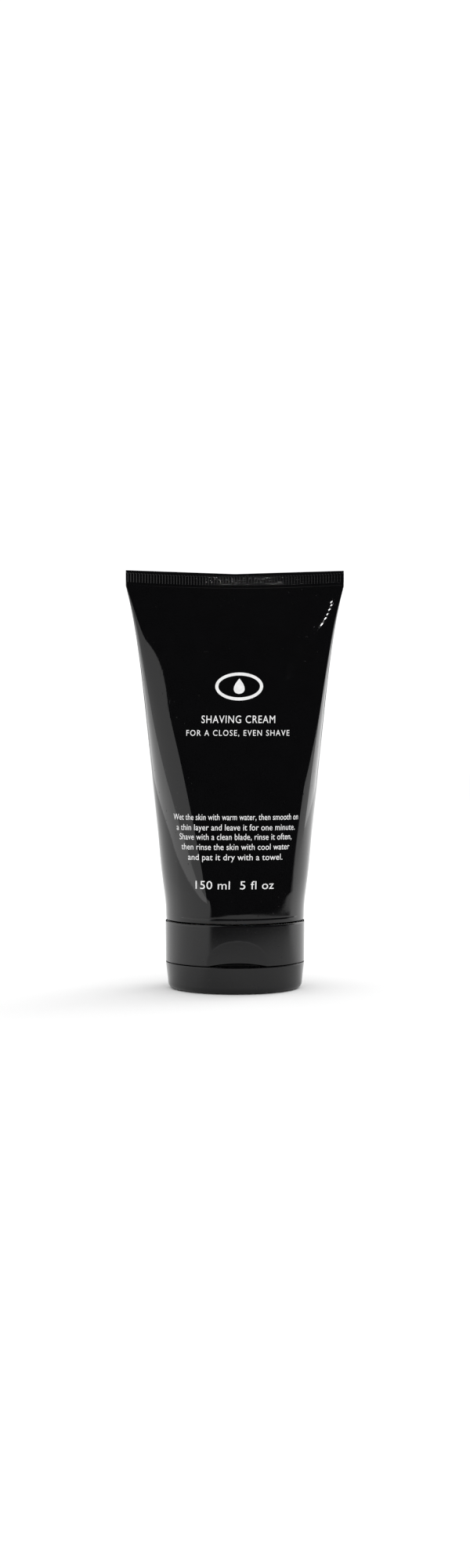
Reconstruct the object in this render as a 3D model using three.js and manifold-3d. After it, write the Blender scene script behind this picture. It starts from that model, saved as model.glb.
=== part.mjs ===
// A 150 ml squeeze tube that stands on its flip-top cap, in millimetres, +Z up.
// The origin is the centre of the lid's flat outer face, which the tube stands on.
// +Y is the hinge side at the back, and the thumb scoop faces -Y.

import * as THREE from "three";
import { mergeVertices } from "three/addons/utils/BufferGeometryUtils.js";
import Module from "manifold-3d";

const wasm = await Module();
wasm.setup();

// ---- Driving dimensions ----

const SEGMENTS = 48; // facets round every turned piece

// Sleeve: a thin tube welded flat at the tail, so its flat width is half its girth.
const SLEEVE_R = 25;
const SLEEVE_WALL = 0.5;
const SLEEVE_FOOT_Z = 24.85;
const ROUND_UP_TO_Z = 27; // the sleeve is round below this, where the head is welded in
const SEAL_FOOT_Z = 144.4; // the flat seal starts here
const SLEEVE_TOP_Z = 150;
const CAVITY_TOP_Z = 143;
const SEAL_HALF_THICKNESS = SLEEVE_WALL;
const SEAL_DIP = 1.3; // the seal's middle hangs this far below its corners
const DIP_FROM_Z = 100;
const CORNER_FLARE = 2.9; // extra half width that the sleeve gains close to the seal
const FULLNESS = 0.35;
const MID_BULGE = 0.05;

// Head: shoulder and neck, moulded and welded into the sleeve.
const HEAD_R = 24.2;
const HEAD_FOOT_Z = 25.2;
const NECK_R = 10.5;
const NECK_BORE_R = 8.2;
const NECK_FOOT_Z = 14.2;
const NECK_ROOT_Z = 22.2;
const SHOULDER_THICKNESS = 1.5;
const SNAP_BEAD = 0.5;
const SNAP_BEAD_Z = 16.6;

// Cream: what fills the tube.
const CREAM_GAP = 0.3;
const CREAM_SIDE_GAP = 0.6;
const CREAM_FOOT_Z = 17.5;
const CREAM_TOP_Z = 122;

// Cap base: skirt, deck, snap collar and spout.
const CAP_TOP_R = 25.1;
const SEAM_R = 24.95; // outer radius where base and lid meet
const BASE_FOOT_Z = 9.75;
const BASE_TOP_Z = 24.3;
const SKIRT_WALL = 1.4;
const DECK_FOOT_Z = 11.3;
const DECK_TOP_Z = 12.9;
const COLLAR_R = 12.6;
const COLLAR_BORE_R = 10.8;
const COLLAR_TOP_Z = 20.5;
const PLUG_SEAL_R = 7.9;
const PLUG_SEAL_WALL = 1;
const PLUG_SEAL_TOP_Z = 16.5;
const ORIFICE_R = 3.25;
const SPOUT_TIP_R = 4.9;
const SPOUT_ROOT_R = 5.9;
const SPOUT_TIP_Z = 7;
const RIM_R = 22.6; // locating rim that the lid closes over
const RIM_WALL = 1.2;
const RIM_FOOT_Z = 8.3;
const RIB_COUNT = 8;
const RIB_THICKNESS = 1;
const RIB_TOP_Z = 18;

// Thumb scoop, an ellipsoid bite out of the skirt's front, and the nail gap under it.
const SCOOP_HALF_WIDTH = 28.6;
const SCOOP_DEPTH_AXIS = 6.9;
const SCOOP_HEIGHT_AXIS = 10.8;
const SCOOP_CENTRE_OUT = 4; // how far the ellipsoid's centre lies in front of the skirt
const SCOOP_WALL = 1.2;
const NAIL_GAP_HALF_WIDTH = 10.7;
const NAIL_GAP_HEIGHT = 1.35;
const NAIL_GAP_FOOT_Z = 9.4;
const NAIL_GAP_BACK = 21.2; // how far from the axis the gap ends
const NAIL_GAP_BACKING = 20.1; // inner face of the wall behind the gap

// Lid.
const LID_TOP_Z = 9.45;
const LID_CREASE_R = 24.25; // outer radius low on the wall
const LID_CREASE_Z = 3;
const LID_FACE_R = 23.1; // edge of the flat face that it stands on
const LID_EDGE_Z = 1.5;
const LID_BORE_R = 22.9;
const LID_FLOOR_Z = 1.4;
const GUARD_RING_R = 7.8;
const GUARD_RING_WALL = 1;
const GUARD_RING_TOP_Z = 5.5;
const PIN_R = 2.95;
const PIN_BORE_R = 1.9;
const PIN_TOP_Z = 8.7;
const PIN_FLOOR_Z = 2.2;

// Hinge: strips that lie on a flat across the back of base and lid.
const FLAT_Y = 24.05;
const FLAT_TOP_Z = 20.2;
const HINGE_Z = 9.6;
const STRIP_GAP = 0.05;
const STRIP_THICKNESS = 0.3;
const STRAP_WIDTH = 6;
const STRAP_HEIGHT = 9;
const FILM_WIDTH = 3;
const FILM_HEIGHT = 2.4;
const FILM_CENTRE_X = 5.3;

// ---- Solids ----

function solid(geometry) {
  const bare = geometry.index ? geometry.toNonIndexed() : geometry.clone();
  bare.deleteAttribute("normal");
  bare.deleteAttribute("uv");
  const merged = mergeVertices(bare, 1e-4);
  return new wasm.Manifold(
    new wasm.Mesh({
      numProp: 3,
      vertProperties: merged.attributes.position.array,
      triVerts: new Uint32Array(merged.index.array),
    }),
  );
}

function geometryOf(manifold) {
  const made = manifold.getMesh();
  const geometry = new THREE.BufferGeometry();
  geometry.setAttribute("position", new THREE.BufferAttribute(made.vertProperties, 3));
  geometry.setIndex(new THREE.BufferAttribute(made.triVerts, 1));
  geometry.computeVertexNormals();
  return geometry;
}

function box(width, depth, height, x, y, z) {
  return solid(new THREE.BoxGeometry(width, depth, height).translate(x, y, z));
}

// Turns a profile of [radius, height] pairs round Z. The profile runs anticlockwise.
function turned(profile) {
  const points = profile.map(([r, z]) => new THREE.Vector2(r, z));
  return new THREE.LatheGeometry(points, SEGMENTS).rotateX(Math.PI / 2);
}

// ---- The sleeve's shape ----

// How far a height is from round, 0, to the flat seal, 1.
function flattening(z) {
  return THREE.MathUtils.clamp((z - ROUND_UP_TO_Z) / (SEAL_FOOT_Z - ROUND_UP_TO_Z), 0, 1);
}

function halfWidth(z) {
  const t = flattening(z);
  const steady = SLEEVE_R * (Math.PI / 2 - 1) - CORNER_FLARE;
  return SLEEVE_R + steady * t ** 0.93 + CORNER_FLARE * t ** 7;
}

function halfDepth(z) {
  const t = flattening(z);
  const pressed = 1 - t;
  const swollen = (1 - t ** 1.5) ** 0.65;
  return SLEEVE_R * THREE.MathUtils.lerp(pressed, swollen, fullness(z)) * bulge(z);
}

// How much of the section is the oval of a full tube, and not the flat sides of an empty one.
function fullness(z) {
  return FULLNESS * (1 - flattening(z) ** 6);
}

function bulge(z) {
  const t = flattening(z);
  return 1 + MID_BULGE * 4 * t * (1 - t);
}

// A quarter of the section, from the middle of the front, 0, to the side edge, a right angle.
// Pressing a round tube flat leaves a straight stretch at the front and a round end at the side.
function quarterSection(turn, z) {
  const t = flattening(z);
  const straight = (t * Math.PI) / 2;
  const end = Math.max(0, turn - straight) / Math.max(1 - t, 1e-6);
  const pressedX = Math.min(turn, straight) + (1 - t) * Math.sin(end);
  const pressedY = (1 - t) * Math.cos(end);
  const swollenX = (1 + t * (Math.PI / 2 - 1)) * Math.sin(turn);
  const swollenY = (1 - t ** 1.5) ** 0.65 * Math.cos(turn);
  const full = fullness(z);
  return [
    THREE.MathUtils.lerp(pressedX, swollenX, full),
    THREE.MathUtils.lerp(pressedY, swollenY, full),
  ];
}

// The sleeve's outer surface: a point of the section at a height, at an angle from +X.
function sectionPoint(angle, z) {
  const across = Math.PI / 2 - Math.abs(angle);
  const [quarterX, quarterY] = quarterSection(Math.abs(across), z);
  const [edge] = quarterSection(Math.PI / 2, z);
  const x = (Math.sign(across) * halfWidth(z) * quarterX) / edge;
  const seal = flattening(z) * SEAL_HALF_THICKNESS * Math.max(0, Math.cos(across)) ** 0.25;
  const y = Math.hypot(SLEEVE_R * quarterY * bulge(z), seal);
  return [x, Math.sign(angle) * y];
}

function sealDip(x, z) {
  const share = THREE.MathUtils.smoothstep(z, DIP_FROM_Z, SEAL_FOOT_Z);
  return SEAL_DIP * share * (1 - (x / halfWidth(SLEEVE_TOP_Z)) ** 2);
}

// Presses a turned shape flat towards the seal, as the sleeve is. A point's radius says how far
// inside the sleeve's surface it lies.
function flattened(geometry) {
  const place = geometry.attributes.position;
  for (let i = 0; i < place.count; i++) {
    const radius = Math.hypot(place.getX(i), place.getY(i));
    const z = place.getZ(i);
    let x = 0;
    let y = 0;
    if (radius > 1e-6) {
      const inset = SLEEVE_R - radius;
      const wide = halfWidth(z);
      const deep = Math.hypot(halfDepth(z), flattening(z) * SEAL_HALF_THICKNESS);
      [x, y] = sectionPoint(Math.atan2(place.getY(i), place.getX(i)), z);
      x *= (wide - inset) / wide;
      y *= (deep - inset) / deep;
    }
    place.setXYZ(i, x, y, z - sealDip(x, z));
  }
  return geometry;
}

// Heights up the sleeve, closer together towards the seal, where the shape changes fastest.
function stations(from, to, count) {
  return Array.from({ length: count }, (_, i) => {
    const share = (i + 1) / count;
    return from + (to - from) * (1 - (1 - share) ** 1.6);
  });
}

function sleeve() {
  const up = [ROUND_UP_TO_Z, ...stations(ROUND_UP_TO_Z, SEAL_FOOT_Z, 16)];
  const inside = [ROUND_UP_TO_Z, ...stations(ROUND_UP_TO_Z, CAVITY_TOP_Z, 14)];
  const bore = SLEEVE_R - SLEEVE_WALL;
  return solid(
    flattened(
      turned([
        [0, CAVITY_TOP_Z],
        ...inside.reverse().map((z) => [bore, z]),
        [bore, SLEEVE_FOOT_Z],
        [SLEEVE_R - 0.2, SLEEVE_FOOT_Z],
        [SLEEVE_R, SLEEVE_FOOT_Z + 0.3],
        ...up.map((z) => [SLEEVE_R, z]),
        [SLEEVE_R, SLEEVE_TOP_Z],
        [0, SLEEVE_TOP_Z],
      ]),
    ),
  );
}

function cream() {
  const side = SLEEVE_R - SLEEVE_WALL - CREAM_SIDE_GAP;
  const throat = NECK_BORE_R - CREAM_GAP;
  const up = stations(ROUND_UP_TO_Z + 2.5, CREAM_TOP_Z, 12);
  return solid(
    flattened(
      turned([
        [0, CREAM_FOOT_Z],
        [throat, CREAM_FOOT_Z],
        [throat, NECK_ROOT_Z + SHOULDER_THICKNESS + CREAM_GAP],
        [HEAD_R - 2.3, ROUND_UP_TO_Z + 0.6],
        [side, ROUND_UP_TO_Z + 1.6],
        ...up.map((z) => [side, z]),
        [0, CREAM_TOP_Z],
      ]),
    ),
  );
}

function head() {
  const bead = NECK_R + SNAP_BEAD;
  return solid(
    turned([
      [NECK_BORE_R, NECK_FOOT_Z],
      [NECK_R - 0.4, NECK_FOOT_Z],
      [NECK_R, NECK_FOOT_Z + 0.6],
      [NECK_R, SNAP_BEAD_Z - 0.6],
      [bead, SNAP_BEAD_Z],
      [NECK_R, SNAP_BEAD_Z + 1],
      [NECK_R, NECK_ROOT_Z - 0.8],
      [NECK_R + 1.4, NECK_ROOT_Z],
      [HEAD_R - 1.2, HEAD_FOOT_Z],
      [HEAD_R, HEAD_FOOT_Z],
      [HEAD_R, ROUND_UP_TO_Z],
      [HEAD_R - 0.8, ROUND_UP_TO_Z],
      [NECK_R + 0.6, NECK_ROOT_Z + SHOULDER_THICKNESS],
      [NECK_BORE_R, NECK_ROOT_Z + SHOULDER_THICKNESS - 0.4],
      [NECK_BORE_R, NECK_FOOT_Z],
    ]),
  );
}

// ---- The flip-top cap ----

// An ellipsoid in front of the skirt, grown by a wall thickness.
function scoopBody(wall) {
  return solid(
    new THREE.SphereGeometry(1, 40, 28)
      .rotateX(Math.PI / 2)
      .scale(SCOOP_HALF_WIDTH + wall, SCOOP_DEPTH_AXIS + wall, SCOOP_HEIGHT_AXIS + wall)
      .translate(0, -CAP_TOP_R + 0.1 - SCOOP_CENTRE_OUT, BASE_FOOT_Z),
  );
}

// The gap under the scoop where a thumbnail lifts the lid: a low arch, open to the front only.
function nailGap() {
  const arch = new THREE.Shape();
  arch.moveTo(-NAIL_GAP_HALF_WIDTH, 0);
  arch.lineTo(NAIL_GAP_HALF_WIDTH, 0);
  const steps = 16;
  const side = BASE_FOOT_Z - NAIL_GAP_FOOT_Z;
  for (let i = 0; i <= steps; i++) {
    const share = 1 - (2 * i) / steps;
    arch.lineTo(share * NAIL_GAP_HALF_WIDTH, side + NAIL_GAP_HEIGHT * (1 - share ** 2));
  }
  const depth = CAP_TOP_R - NAIL_GAP_BACK;
  return solid(
    new THREE.ExtrudeGeometry(arch, { depth, bevelEnabled: false })
      .rotateX(Math.PI / 2)
      .translate(0, -NAIL_GAP_BACK, NAIL_GAP_FOOT_Z),
  );
}

// Thickens the rim behind the nail gap.
function nailGapBacking() {
  const depth = RIM_R - 0.7 - NAIL_GAP_BACKING;
  const height = DECK_FOOT_Z + 0.2 - RIM_FOOT_Z;
  return box(10, depth, height, 0, -NAIL_GAP_BACKING - depth / 2, RIM_FOOT_Z + height / 2);
}

// Everything behind the hinge's flat, on the base and the lid.
function hingeFlat() {
  const height = FLAT_TOP_Z + 5;
  return box(20, 4, height, 0, FLAT_Y + 2, FLAT_TOP_Z - height / 2);
}

function stiffeningRib(index) {
  const reach = CAP_TOP_R - SKIRT_WALL - COLLAR_R + 0.6;
  const angle = ((index + 0.5) * 2 * Math.PI) / RIB_COUNT;
  return solid(
    new THREE.BoxGeometry(reach, RIB_THICKNESS, RIB_TOP_Z - DECK_TOP_Z + 0.4)
      .translate(COLLAR_R - 0.3 + reach / 2, 0, (RIB_TOP_Z + DECK_TOP_Z - 0.4) / 2)
      .rotateZ(angle),
  );
}

function capBase() {
  const groove = COLLAR_BORE_R + SNAP_BEAD;
  const sealBore = PLUG_SEAL_R - PLUG_SEAL_WALL;
  let made = solid(
    turned([
      [ORIFICE_R, SPOUT_TIP_Z],
      [SPOUT_TIP_R, SPOUT_TIP_Z],
      [SPOUT_ROOT_R, DECK_FOOT_Z - 0.6],
      [SPOUT_ROOT_R + 0.6, DECK_FOOT_Z],
      [RIM_R - RIM_WALL, DECK_FOOT_Z],
      [RIM_R - RIM_WALL, RIM_FOOT_Z],
      [RIM_R - 0.3, RIM_FOOT_Z],
      [RIM_R, RIM_FOOT_Z + 0.3],
      [RIM_R, BASE_FOOT_Z],
      [SEAM_R, BASE_FOOT_Z],
      [CAP_TOP_R, BASE_TOP_Z - 0.3],
      [CAP_TOP_R - 0.3, BASE_TOP_Z],
      [CAP_TOP_R - SKIRT_WALL, BASE_TOP_Z],
      [CAP_TOP_R - SKIRT_WALL, DECK_TOP_Z],
      [COLLAR_R, DECK_TOP_Z],
      [COLLAR_R, COLLAR_TOP_Z],
      [COLLAR_BORE_R + 0.4, COLLAR_TOP_Z],
      [COLLAR_BORE_R, COLLAR_TOP_Z - 0.8],
      [COLLAR_BORE_R, SNAP_BEAD_Z + 1.4],
      [groove, SNAP_BEAD_Z + 0.4],
      [groove, SNAP_BEAD_Z - 0.4],
      [COLLAR_BORE_R, SNAP_BEAD_Z - 1.2],
      [COLLAR_BORE_R, DECK_TOP_Z],
      [PLUG_SEAL_R, DECK_TOP_Z],
      [PLUG_SEAL_R, PLUG_SEAL_TOP_Z - 0.6],
      [PLUG_SEAL_R - 0.4, PLUG_SEAL_TOP_Z],
      [sealBore, PLUG_SEAL_TOP_Z],
      [sealBore, DECK_TOP_Z],
      [ORIFICE_R, DECK_TOP_Z],
      [ORIFICE_R, SPOUT_TIP_Z],
    ]),
  );
  for (let i = 0; i < RIB_COUNT; i++) made = made.add(stiffeningRib(i));
  const room = box(30, 12, 12, 0, -CAP_TOP_R + 6, BASE_FOOT_Z + 6 + 0.2);
  const drum = new THREE.CylinderGeometry(CAP_TOP_R - 0.5, CAP_TOP_R - 0.5, 60, SEGMENTS);
  const boss = scoopBody(SCOOP_WALL).intersect(room).intersect(solid(drum.rotateX(Math.PI / 2)));
  const above = box(60, 60, 30, 0, 0, BASE_FOOT_Z + 15);
  return made
    .add(boss)
    .add(nailGapBacking())
    .subtract(scoopBody(0).intersect(above))
    .subtract(nailGap())
    .subtract(hingeFlat());
}

function lid() {
  return solid(
    turned([
      [0, 0],
      [LID_FACE_R, 0],
      [LID_FACE_R + 0.8, 0.5],
      [LID_CREASE_R - 0.1, LID_EDGE_Z],
      [LID_CREASE_R, LID_CREASE_Z],
      [SEAM_R, LID_TOP_Z - 0.2],
      [SEAM_R - 0.2, LID_TOP_Z],
      [LID_BORE_R, LID_TOP_Z],
      [LID_BORE_R, LID_FLOOR_Z + 1],
      [LID_BORE_R - 1, LID_FLOOR_Z],
      [GUARD_RING_R, LID_FLOOR_Z],
      [GUARD_RING_R, GUARD_RING_TOP_Z],
      [GUARD_RING_R - GUARD_RING_WALL, GUARD_RING_TOP_Z],
      [GUARD_RING_R - GUARD_RING_WALL, LID_FLOOR_Z],
      [PIN_R, LID_FLOOR_Z],
      [PIN_R, PIN_TOP_Z - 0.5],
      [PIN_R - 0.4, PIN_TOP_Z],
      [PIN_BORE_R, PIN_TOP_Z],
      [PIN_BORE_R, PIN_FLOOR_Z],
      [0, PIN_FLOOR_Z],
    ]),
  ).subtract(hingeFlat());
}

// A strip of the one-piece hinge, lying on the flat across the seam.
function hingeStrip(width, height, x) {
  const y = FLAT_Y + STRIP_GAP + STRIP_THICKNESS / 2;
  return new THREE.BoxGeometry(width, STRIP_THICKNESS, height).translate(x, y, HINGE_Z);
}

// ---- Finishes ----

function plastic(colour, roughness) {
  return new THREE.MeshStandardMaterial({ color: colour, roughness, metalness: 0 });
}

const glossBlack = plastic(0x08080a, 0.08);
const satinBlack = plastic(0x0c0c0e, 0.25);
const mouldedWhite = plastic(0xe6e4de, 0.5);
const creamWhite = plastic(0xf4f1ea, 0.6);

// ---- The assembly ----

function piece(name, geometry, material) {
  const mesh = new THREE.Mesh(geometry, material);
  mesh.name = name;
  return mesh;
}

const tube = new THREE.Group();
tube.add(
  piece("tube_sleeve", geometryOf(sleeve()), glossBlack),
  piece("tube_head", geometryOf(head()), mouldedWhite),
  piece("shaving_cream", geometryOf(cream()), creamWhite),
);

const cap = new THREE.Group();
cap.add(
  piece("cap_base", geometryOf(capBase()), satinBlack),
  piece("flip_lid", geometryOf(lid()), satinBlack),
  piece("hinge_strap", hingeStrip(STRAP_WIDTH, STRAP_HEIGHT, 0), satinBlack),
  piece("hinge_film_left", hingeStrip(FILM_WIDTH, FILM_HEIGHT, -FILM_CENTRE_X), satinBlack),
  piece("hinge_film_right", hingeStrip(FILM_WIDTH, FILM_HEIGHT, FILM_CENTRE_X), satinBlack),
);

const assembly = new THREE.Group();
assembly.add(tube, cap);

export default assembly;
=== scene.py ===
"""A gloss black squeeze tube of shaving cream that stands on its flip-top cap.

Sizes are in millimetres unless a name says otherwise, and MM turns them into metres. +Z is up, the
printed front faces -Y, and the lid's hinge is at the back, on +Y.
"""

import math

import bmesh
import bpy
import numpy as np
from mathutils import Matrix, Quaternion, Vector


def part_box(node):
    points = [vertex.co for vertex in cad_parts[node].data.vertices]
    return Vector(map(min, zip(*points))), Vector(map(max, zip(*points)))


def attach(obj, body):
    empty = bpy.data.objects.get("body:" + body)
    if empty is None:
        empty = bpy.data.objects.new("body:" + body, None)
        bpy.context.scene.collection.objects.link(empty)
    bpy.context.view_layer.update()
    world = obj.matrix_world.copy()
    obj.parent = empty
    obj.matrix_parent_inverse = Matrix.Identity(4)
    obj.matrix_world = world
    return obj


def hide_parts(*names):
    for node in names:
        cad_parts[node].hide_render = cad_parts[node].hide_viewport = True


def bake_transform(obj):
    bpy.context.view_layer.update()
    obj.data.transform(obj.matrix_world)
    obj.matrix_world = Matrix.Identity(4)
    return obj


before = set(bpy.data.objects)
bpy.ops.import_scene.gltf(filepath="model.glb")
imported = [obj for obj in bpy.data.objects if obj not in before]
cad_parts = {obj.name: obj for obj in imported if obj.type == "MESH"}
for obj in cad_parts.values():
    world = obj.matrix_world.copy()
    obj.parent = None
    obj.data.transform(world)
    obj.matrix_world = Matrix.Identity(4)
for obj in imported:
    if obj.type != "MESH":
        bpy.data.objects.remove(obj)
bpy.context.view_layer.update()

bl_info = {
    "name": "Shaving Cream Tube",
    "version": (1, 0, 0),
    "blender": (4, 5, 0),
    "location": "View3D > Sidebar > Cream Tube",
    "description": "Builds a squeeze tube of shaving cream with a flip-top cap",
    "category": "Add Mesh",
}

MM = 0.001

# ---- Sizes that the pieces share ----

SLEEVE_R = 25.0
SLEEVE_WALL = 0.5
SLEEVE_FOOT = 24.85
ROUND_UP_TO = 27.0
SEAL_FOOT = 144.4
SLEEVE_TOP = 150.0
CAVITY_TOP = 143.0
SEAL_HALF_THICKNESS = 0.5
SEAL_DIP = 1.3
DIP_FROM = 100.0
CORNER_FLARE = 2.9
FULLNESS_FOOT = 0.16
FULLNESS_TAIL = 0.60
MID_BULGE = 0.05
SET_IN = 0.06

SEAM_R = 24.95
CAP_TOP_R = 25.1
BASE_FOOT = 9.75
BASE_TOP = 24.3
RIM_R = 22.6
HINGE_FLAT_Y = 24.05
HINGE_FLAT_TOP = 20.2
HINGE_HEIGHT = 9.6


# ---- Shape helpers ----

WEDGES = 8  # a turned piece is spun as one wedge and repeated, so its steps are a multiple of this


def blend_in(value, low, high):
    """0 at low, 1 at high, and smooth between; low may be above high."""
    share = min(max((value - low) / (high - low), 0.0), 1.0)
    return share * share * (3 - 2 * share)


def softened(corners, steps=4):
    """A turned profile with its corners rounded. A corner is (radius, height, rounding)."""
    points = []
    for i, (radius, height, rounding) in enumerate(corners):
        here = Vector((radius, height))
        if not rounding:
            points.append(here)
            continue
        back = Vector(corners[i - 1][:2]) - here
        on = Vector(corners[(i + 1) % len(corners)][:2]) - here
        start = here + back.normalized() * min(rounding, 0.49 * back.length)
        end = here + on.normalized() * min(rounding, 0.49 * on.length)
        for k in range(steps + 1):
            share = k / steps
            points.append(start.lerp(here, share).lerp(here.lerp(end, share), share))
    return points


def divided(points, longest, wanted):
    """The same profile, with its wanted stretches cut into steps no longer than longest."""
    made = []
    for here, after in zip(points, points[1:] + points[:1]):
        made.append(here)
        if wanted(here, after):
            cuts = math.ceil((after - here).length / longest)
            made += [here.lerp(after, k / cuts) for k in range(1, cuts)]
    return made


def turned(points, steps, closed=True):
    """A bmesh turned round Z from a profile of (radius, height): one wedge, spun and then repeated."""
    bm = bmesh.new()
    line = [bm.verts.new((p[0] * MM, 0, p[1] * MM)) for p in points]
    edges = [bm.edges.new(pair) for pair in zip(line, line[1:])]
    if closed:
        edges.append(bm.edges.new((line[-1], line[0])))
    bmesh.ops.spin(
        bm,
        geom=line + edges,
        cent=(0, 0, 0),
        axis=(0, 0, 1),
        dvec=(0, 0, 0),
        angle=math.tau / WEDGES,
        steps=steps // WEDGES,
    )
    wedge = bm.verts[:] + bm.edges[:] + bm.faces[:]
    for k in range(1, WEDGES):
        copied = bmesh.ops.duplicate(bm, geom=wedge)["geom"]
        corners = [g for g in copied if isinstance(g, bmesh.types.BMVert)]
        bmesh.ops.rotate(bm, verts=corners, cent=(0, 0, 0), matrix=Matrix.Rotation(k * math.tau / WEDGES, 3, "Z"))
    bmesh.ops.remove_doubles(bm, verts=bm.verts, dist=1e-6)
    bmesh.ops.recalc_face_normals(bm, faces=bm.faces)
    return bm


def reshaped(bm, move):
    """Moves every vertex to where move puts it, in millimetres."""
    for vert in bm.verts:
        vert.co = Vector(move(*(vert.co / MM))) * MM


def piece(bm, name, finish, body, stands_for=(), smooth=True):
    """Makes the bmesh an object that rides on a body."""
    mesh = bpy.data.meshes.new(name)
    bm.to_mesh(mesh)
    bm.free()
    mesh.materials.append(finish)
    if smooth:
        mesh.shade_smooth()
    made = bpy.data.objects.new(name, mesh)
    bpy.context.scene.collection.objects.link(made)
    if body:
        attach(made, body)
    if stands_for:
        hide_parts(*stands_for)
    return made


# ---- The sleeve's surface ----


def flattening(z):
    """0 where the sleeve is round, 1 at the flat seal; the taper sets in gently."""
    t = min(max((z - ROUND_UP_TO) / (SEAL_FOOT - ROUND_UP_TO), 0.0), 1.0)
    if t < SET_IN:
        return t * t / (2 * SET_IN) / (1 - SET_IN / 2)
    return (t - SET_IN / 2) / (1 - SET_IN / 2)


def half_width(z):
    t = flattening(z)
    steady = SLEEVE_R * (math.pi / 2 - 1) - CORNER_FLARE
    return SLEEVE_R + steady * t**0.93 + CORNER_FLARE * t**7


def fullness(z):
    """How much of the section is the oval of a full tube, and not the flats of an empty one."""
    t = flattening(z)
    return (FULLNESS_FOOT + (FULLNESS_TAIL - FULLNESS_FOOT) * blend_in(t, 0.0, 0.95)) * (1 - t**12)


def bulge(z):
    t = flattening(z)
    return 1 + MID_BULGE * 4 * t * (1 - t)


def half_depth(z):
    t = flattening(z)
    full = fullness(z)
    return SLEEVE_R * ((1 - full) * (1 - t) + full * (1 - t**1.5) ** 0.65) * bulge(z)


def quarter(turn, z):
    """A quarter of the section, from the middle of the front, 0, to the side, a right angle."""
    t = flattening(z)
    straight = t * math.pi / 2
    end = max(0.0, turn - straight) / max(1 - t, 1e-6)
    pressed_x = min(turn, straight) + (1 - t) * math.sin(end)
    pressed_y = (1 - t) * math.cos(end)
    swollen_x = (1 + t * (math.pi / 2 - 1)) * math.sin(turn)
    swollen_y = (1 - t**1.5) ** 0.65 * math.cos(turn)
    full = fullness(z)
    x = (1 - full) * pressed_x + full * swollen_x
    y = (1 - full) * pressed_y + full * swollen_y
    return x, y


def section(angle, z):
    """The sleeve's outline at a height, at an angle from +X."""
    across = math.pi / 2 - abs(angle)
    x, y = quarter(abs(across), z)
    x = math.copysign(half_width(z) * x / quarter(math.pi / 2, z)[0], across)
    seal = flattening(z) * SEAL_HALF_THICKNESS * max(0.0, math.cos(across)) ** 0.25
    return x, math.copysign(math.hypot(SLEEVE_R * y * bulge(z), seal), angle)


def seal_dip(x, z):
    share = blend_in(z, DIP_FROM, SEAL_FOOT)
    return SEAL_DIP * share * (1 - (x / half_width(SLEEVE_TOP)) ** 2)


def flattened(x, y, z):
    """Where a point of the round tube goes when its tail is pressed flat."""
    radius = math.hypot(x, y)
    if radius < 1e-6:
        return 0.0, 0.0, z - seal_dip(0, z)
    inset = SLEEVE_R - radius
    wide = half_width(z)
    deep = math.hypot(half_depth(z), flattening(z) * SEAL_HALF_THICKNESS)
    across, out = section(math.atan2(y, x), z)
    across *= (wide - inset) / wide
    out *= (deep - inset) / deep
    return across, out, z - seal_dip(across, z)


def stations(low, high, count, gather=1.6):
    """Heights up the sleeve, closer together towards high."""
    return [low + (high - low) * (1 - (1 - (i + 1) / count) ** gather) for i in range(count)]


# ---- Materials ----

# Where and how bright the floor's painted pool of light, painted card light and painted shade are, as reflections
# see them
PAINTED_POOL_RADIUS = 0.203  # how far round its centre the pool of light is painted on the floor for reflections, in metres
PAINTED_POOL_CENTRE = (0.025, 0.03)
PAINTED_POOL_SHADE = 0.70
PAINTED_CARD_SHADE = 0.92
PAINTED_CARD_SIDE = 0.87  # the line, x over y, past which light from the left card is painted on the floor for reflections


class Signal:
    """A shader socket that takes part in arithmetic."""

    def __init__(self, finish, socket):
        self.finish = finish
        self.socket = socket

    def math(self, operation, first, second):
        return self.finish.make("ShaderNodeMath", {"operation": operation}, {0: first, 1: second})

    def __add__(self, other):
        return self.math("ADD", self, other)

    def __radd__(self, other):
        return self.math("ADD", other, self)

    def __sub__(self, other):
        return self.math("SUBTRACT", self, other)

    def __rsub__(self, other):
        return self.math("SUBTRACT", other, self)

    def __mul__(self, other):
        return self.math("MULTIPLY", self, other)

    def __rmul__(self, other):
        return self.math("MULTIPLY", other, self)

    def __truediv__(self, other):
        return self.math("DIVIDE", self, other)

    def __pow__(self, other):
        return self.math("POWER", self, other)

    def above(self, low, high):
        """0 on low's side, 1 on high's side, and smooth between."""
        values = {"Value": self, "From Min": low, "From Max": high}
        return self.finish.make("ShaderNodeMapRange", {"interpolation_type": "SMOOTHSTEP"}, values)


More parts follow.
